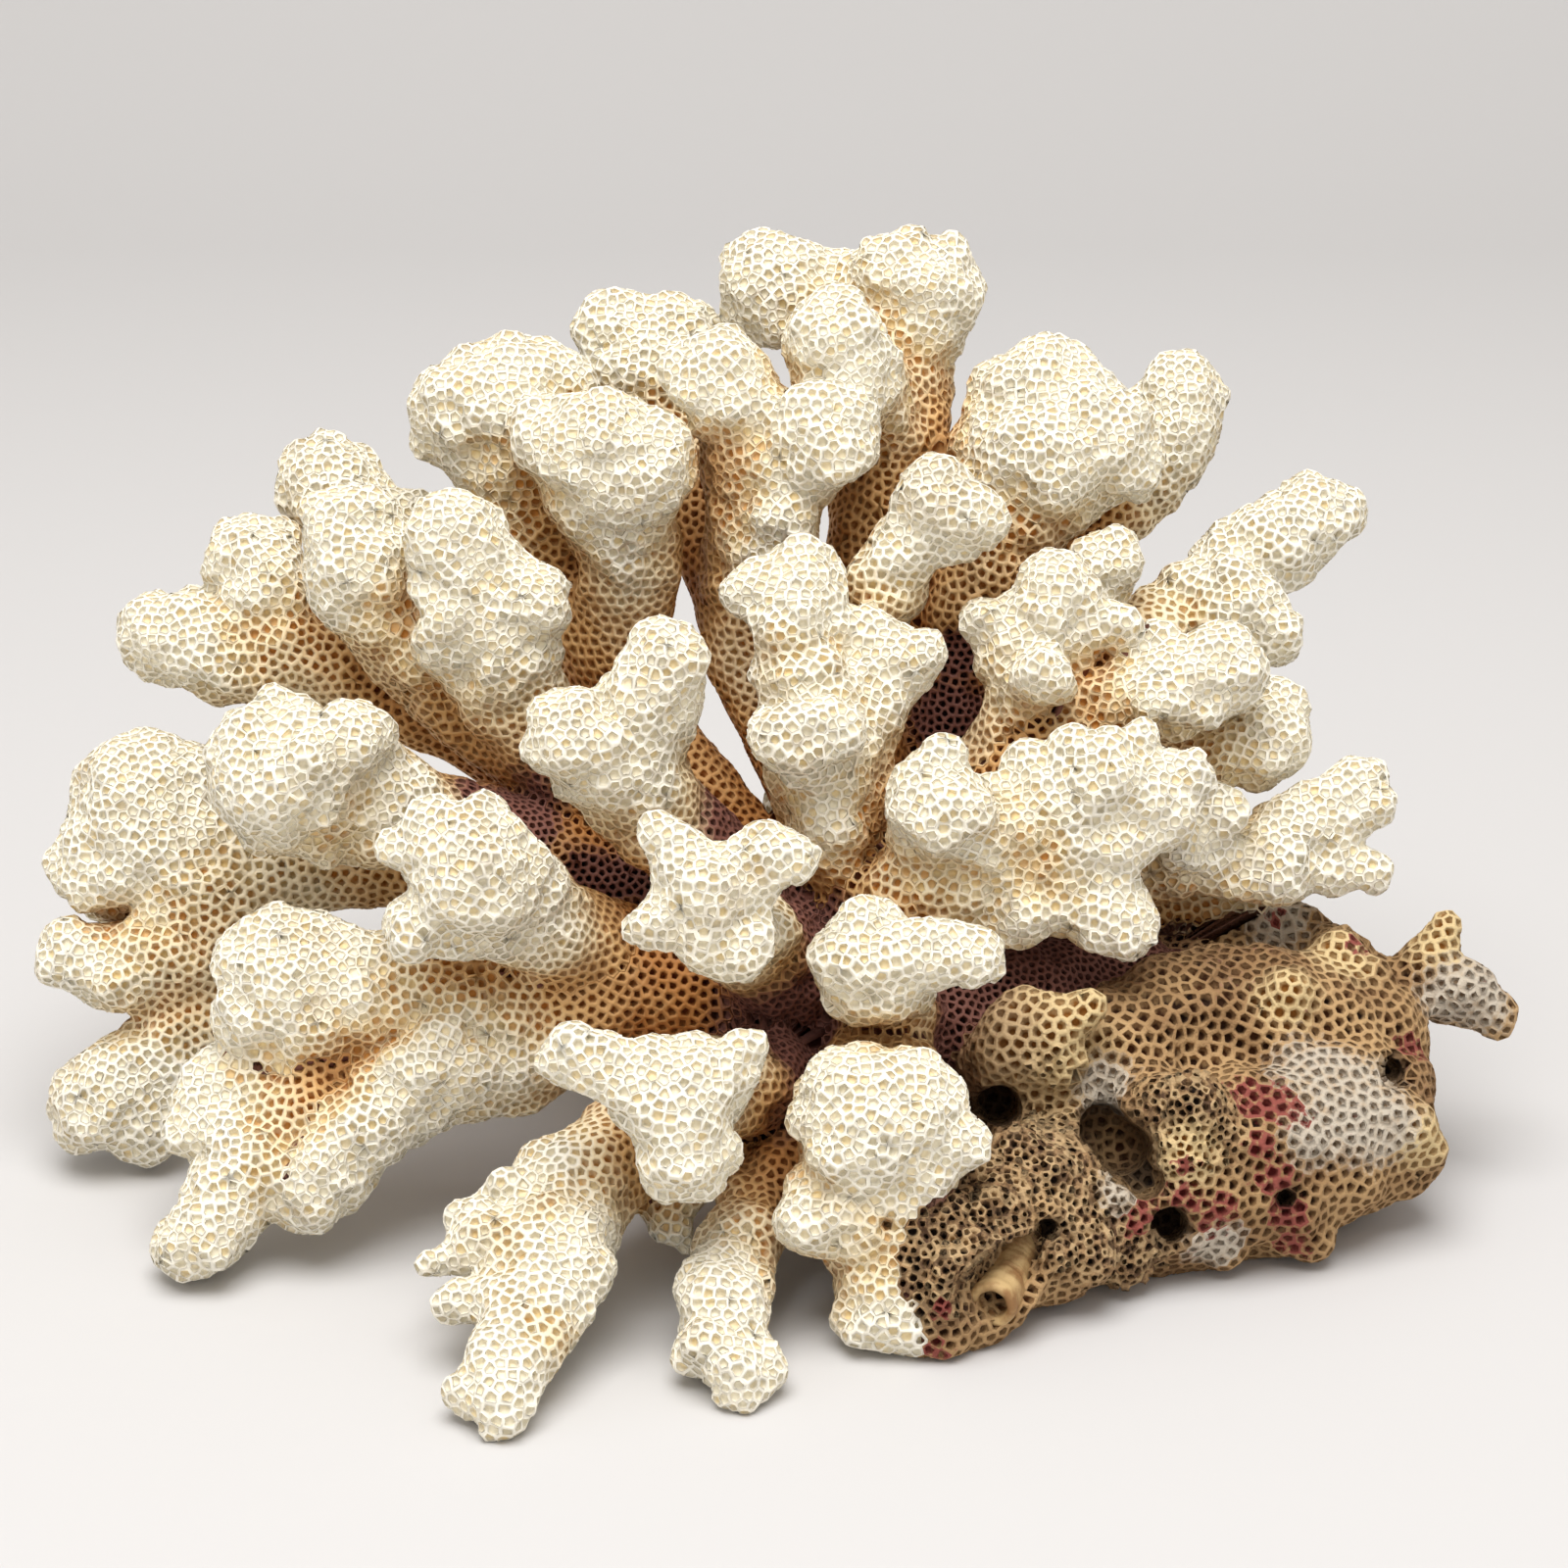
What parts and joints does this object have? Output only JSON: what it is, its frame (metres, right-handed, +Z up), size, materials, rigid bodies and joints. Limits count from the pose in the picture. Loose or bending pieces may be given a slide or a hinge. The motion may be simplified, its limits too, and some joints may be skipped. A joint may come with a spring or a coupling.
{
  "type": "cauliflower coral",
  "caption": "Dried cauliflower coral colony: blunt, branching heads of honeycomb cups on a dead, bored foot that is cut flat underneath to rest on.",
  "frame": {"origin": "middle of the colony's box, on the ground it rests on", "axes": "+X towards the side where the dead foot lies, +Y away from the front, +Z up"},
  "size_m": [0.1789, 0.1233, 0.1062],
  "materials": {
    "coral_branch": "matt, chalky white crests and cream to amber cups",
    "coral_heart": "matt, maroon with pale rings round dark pores",
    "dead_foot": "matt, weathered brown with pink crust and chalky patches",
    "worm_tube": "matt, ringed limy tube"
  },
  "bodies": {
    "root": {"trunk": "coral_heart", "base_rock": "dead_foot", "worm_tube": "worm_tube", "crown_branch": "coral_branch", "inner_left_branch": "coral_branch", "upper_left_branch": "coral_branch", "left_high_branch": "coral_branch", "far_left_branch": "coral_branch", "left_mid_branch": "coral_branch", "left_low_branch": "coral_branch", "left_star_branch": "coral_branch", "left_trunk_branch": "coral_branch", "left_under_branch": "coral_branch", "mid_left_branch": "coral_branch", "centre_branch": "coral_branch", "high_front_branch": "coral_branch", "upper_right_branch": "coral_branch", "far_right_branch": "coral_branch", "right_high_branch": "coral_branch", "right_outer_branch": "coral_branch", "right_mid_branch": "coral_branch", "right_front_branch": "coral_branch", "right_low_branch": "coral_branch", "front_star_branch": "coral_branch", "centre_star_branch": "coral_branch", "front_branch": "coral_branch", "foot_left_branch": "coral_branch", "foot_mid_branch": "coral_branch", "front_fan_branch": "coral_branch", "back_left_branch": "coral_branch", "back_top_branch": "coral_branch", "back_right_branch": "coral_branch", "back_foot_branch": "coral_branch"}
  },
  "joints": []
}
